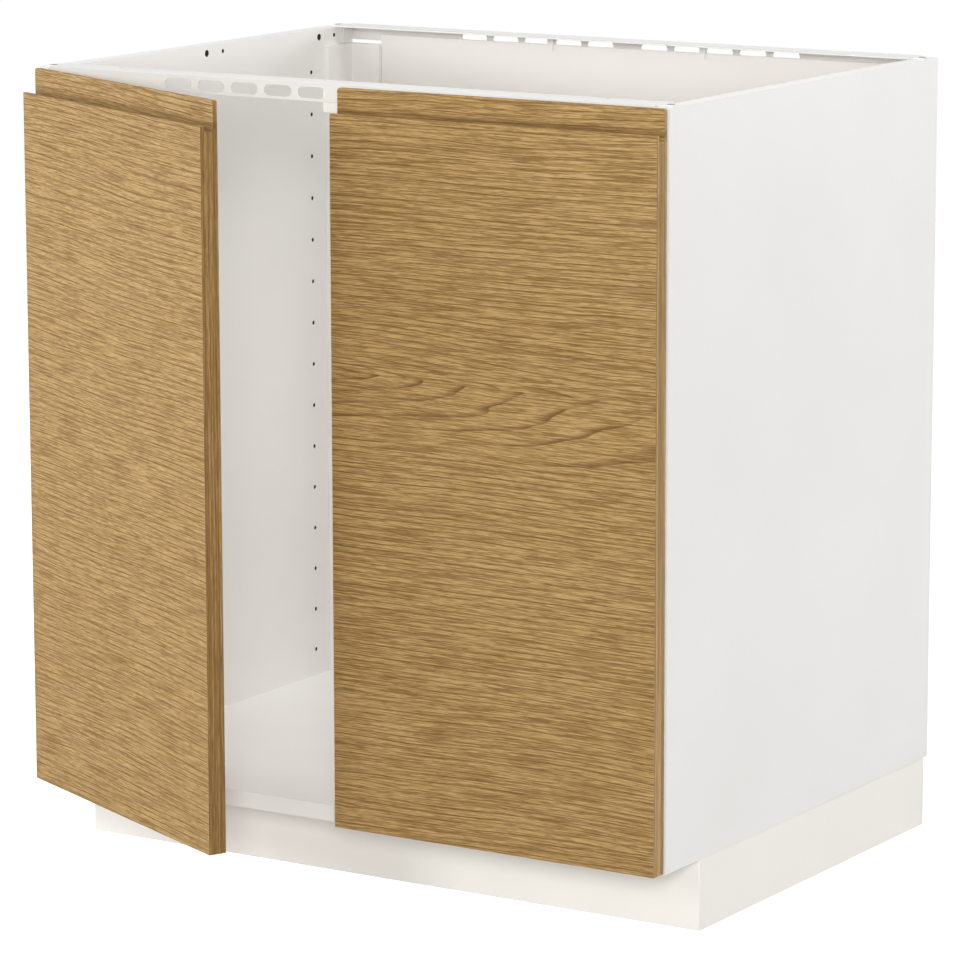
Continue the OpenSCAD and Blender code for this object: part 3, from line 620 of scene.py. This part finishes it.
left_back = Matrix.Rotation(-LEFT_OPEN, 3, "Z") @ Y_AXIS
screws("plate_screws", "carcass", inward, 0.0048, 0.0016, 0.0024)
screws("arm_screws", "carcass", inward, 0.005, 0.0025, 0.003)
screws("socket_screws", "carcass", lambda centre: -Z_AXIS, 0.0036, 0.0016, 0.0018)
screws("cup_screws_left", "left_door", lambda centre: left_back, 0.0032, 0.0016, 0.0016)
screws("cup_screws_right", "right_door", lambda centre: Y_AXIS, 0.0032, 0.0016, 0.0016)

# Floor and backdrop: white to the camera and in reflections, with the object's shadow on it
FLOOR_REACH = 60
FLOOR_GREY = 0.64
FLOOR_GLOW = 0.84
square = [(-1, -1), (1, -1), (1, 1), (-1, 1)]
floor_mesh = bpy.data.meshes.new("floor")
floor_mesh.from_pydata(
    [(x * FLOOR_REACH, y * FLOOR_REACH, 0) for x, y in square], [], [(0, 1, 2, 3)]
)
floor = bpy.data.objects.new("floor", floor_mesh)
bpy.context.scene.collection.objects.link(floor)
ground = Graph("floor_white", roughness=0.9, shader={"Specular IOR Level": 0.0})
ground.set("Base Color", (FLOOR_GREY, FLOOR_GREY, FLOOR_GREY, 1))
ground.set("Emission Color", WHITE)
glow = ground.math("MULTIPLY", seen_directly(ground.tree), FLOOR_GLOW)
ground.set("Emission Strength", glow)
floor_mesh.materials.append(ground.material)

WORLD_LIGHT = 0.26
world = bpy.data.worlds.new("studio")
bpy.context.scene.world = world
world.use_nodes = True
sky = world.node_tree
background = sky.nodes["Background"]
background.inputs["Color"].default_value = WHITE
strength = sky.nodes.new("ShaderNodeMapRange")
strength.inputs["To Min"].default_value = WORLD_LIGHT
strength.inputs["To Max"].default_value = 1.0
sky.links.new(seen_directly(sky), strength.inputs["Value"])
sky.links.new(strength.outputs[0], background.inputs["Strength"])


# Lamps
def lamp(name, place, target, size, power):
    """A round lamp at a place, which points at a target and that the camera doesn't see."""
    data = bpy.data.lights.new(name, "AREA")
    data.shape = "DISK"
    data.size = size
    data.energy = power
    item = bpy.data.objects.new(name, data)
    item.location = place
    item.rotation_mode = "QUATERNION"
    item.rotation_quaternion = (Vector(target) - Vector(place)).to_track_quat("-Z", "Y")
    item.visible_camera = False
    bpy.context.scene.collection.objects.link(item)


middle = (cad_box[0] + cad_box[1]) / 2
lamp("front", (2.8, -4.35, 1.65), middle, 1.4, 146)
lamp("left", (-1.7, -4.6, 2.0), middle, 1.6, 52)
lamp("far_left", (-4.54, -1.1, 1.7), middle, 1.6, 126)
lamp("rear", (2.0, 2.2, 1.2), middle, 1.0, 23)
lamp("side", (2.9, 0.6, 3.4), middle, 1.2, 8)
lamp("top", (0.3, 0.15, 2.9), middle, 0.8, 18)
lamp("inside", (0.0, 0.17, 0.74), (0.0, 0.17, 0.0), 0.44, 0.56)

# Camera, at the photograph's place. The angles are in degrees: its bearing from the doors'
# side, its height above the horizon and its roll.
CAMERA_BEARING = 32.115
CAMERA_HEIGHT = 10.716
CAMERA_ROLL = 0.119
CAMERA_PLACE = (2.7948, -4.2625, 1.4090)
CAMERA_LENS = 179.4
bearing, height = math.radians(CAMERA_BEARING), math.radians(CAMERA_HEIGHT)
flat_share = math.cos(height)
towards_camera = Vector(
    (math.sin(bearing) * flat_share, -math.cos(bearing) * flat_share, math.sin(height))
)
roll = Matrix.Rotation(math.radians(-CAMERA_ROLL), 3, "Z").to_quaternion()
camera_data = bpy.data.cameras.new("camera")
camera_data.sensor_width = 36
camera_data.lens = CAMERA_LENS
camera_data.clip_end = 200
camera = bpy.data.objects.new("camera", camera_data)
camera.location = CAMERA_PLACE
camera.rotation_mode = "QUATERNION"
camera.rotation_quaternion = (-towards_camera).to_track_quat("-Z", "Y") @ roll
bpy.context.scene.collection.objects.link(camera)
bpy.context.scene.camera = camera
bpy.context.scene.view_settings.view_transform = "Standard"

bpy.context.view_layer.update()
